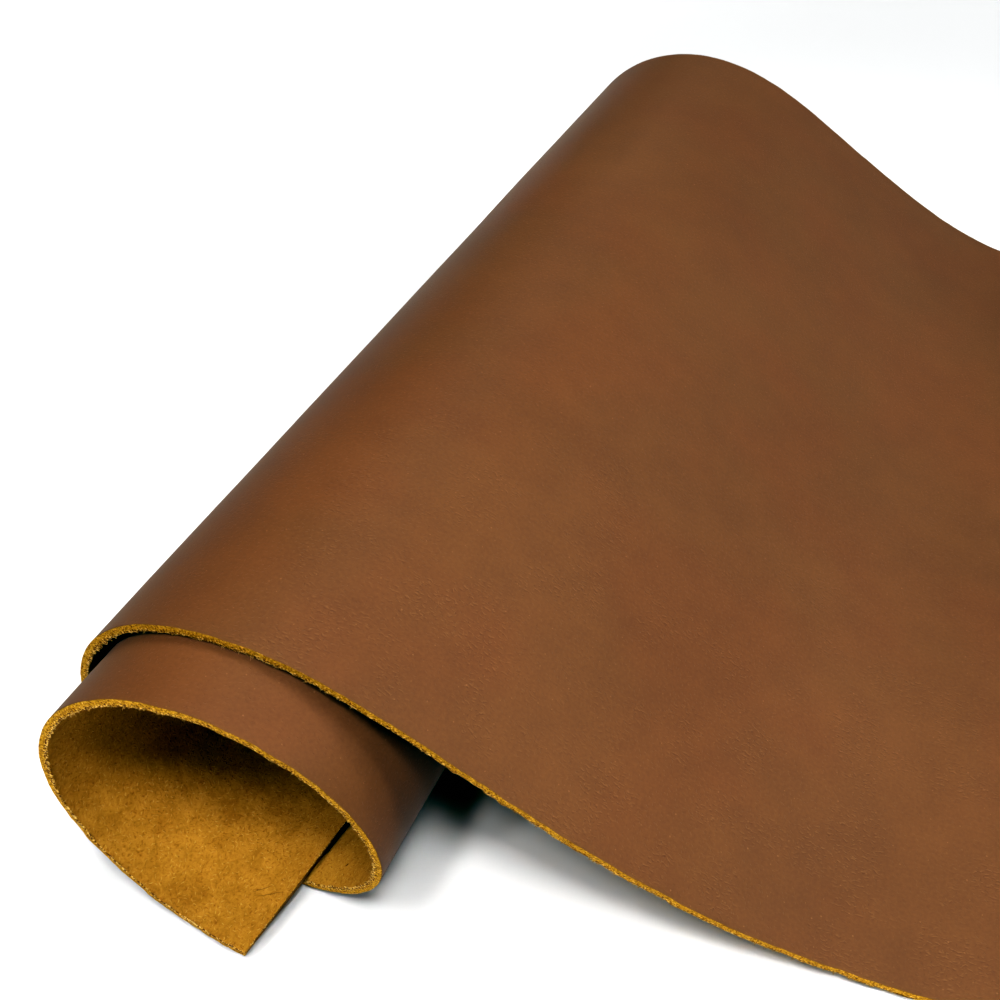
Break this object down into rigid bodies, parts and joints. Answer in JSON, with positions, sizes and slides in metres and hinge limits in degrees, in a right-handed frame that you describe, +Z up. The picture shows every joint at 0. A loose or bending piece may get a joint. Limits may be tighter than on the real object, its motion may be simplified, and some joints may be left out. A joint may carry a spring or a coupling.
{
  "type": "leather hide",
  "caption": "Cut piece of smooth brown leather, loosely rolled into a tube, with its outer end sloping down to lie flat.",
  "frame": {"origin": "middle of the bounding box, on the surface that the roll lies on", "axes": "+Z up; +Y along the rolled tube, away from the end where the inner turn steps out; +X from the tube toward the flat outer end"},
  "size_m": [0.2686, 0.3606, 0.0773],
  "materials": {
    "leather": "waxed smooth grain side, suede flesh side and raw fibrous cut edges"
  },
  "bodies": {
    "root": {"leather_sheet": "leather"}
  },
  "joints": []
}
